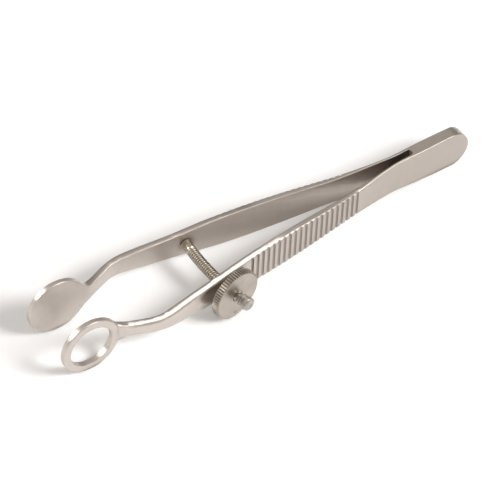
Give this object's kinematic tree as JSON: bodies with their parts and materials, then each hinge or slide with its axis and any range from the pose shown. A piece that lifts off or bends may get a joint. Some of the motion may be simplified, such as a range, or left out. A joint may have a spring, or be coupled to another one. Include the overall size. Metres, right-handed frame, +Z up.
{
  "type": "chalazion clamp",
  "caption": "Sprung eyelid clamp with a solid round plate and an open ring as jaws, ribbed grips and a knurled thumb nut on a curved screw.",
  "frame": {"origin": "below the middle of the bounding box, on the surface that the clamp lies on", "axes": "+X along the length towards the welded tail, +Y from the ring arm to the plate arm, +Z up from the surface it lies on"},
  "size_m": [0.0948, 0.0226, 0.012],
  "materials": {
    "arm_steel": "satin, bead blasted",
    "screw_steel": "cut thread, darker in its grooves",
    "nut_steel": "turned, satin"
  },
  "bodies": {
    "plate_arm": {"plate_arm": "arm_steel", "screw": "screw_steel", "end_stop": "nut_steel"},
    "ring_arm": {"ring_arm": "arm_steel"},
    "thumb_nut": {"thumb_nut": "nut_steel"}
  },
  "joints": [
    {"name": "arm_flex", "type": "hinge", "parent": "plate_arm", "child": "ring_arm", "pos_m": [0.03454, 0.00221, 0.0043], "axis": [-0.0224, 0, -0.9997], "range_deg": [0, 7.09], "stiffness_Nm_per_rad": 1.5},
    {"name": "nut_turn", "type": "hinge", "parent": "ring_arm", "child": "thumb_nut", "pos_m": [-0.0124, -0.00729, 0.00535], "axis": [-0.1829, 0.9831, 0.0041], "range_deg": [0, 4256]}
  ],
  "couplings": [
    {"joint": "nut_turn", "follows": "arm_flex", "ratio": 599.42}
  ]
}
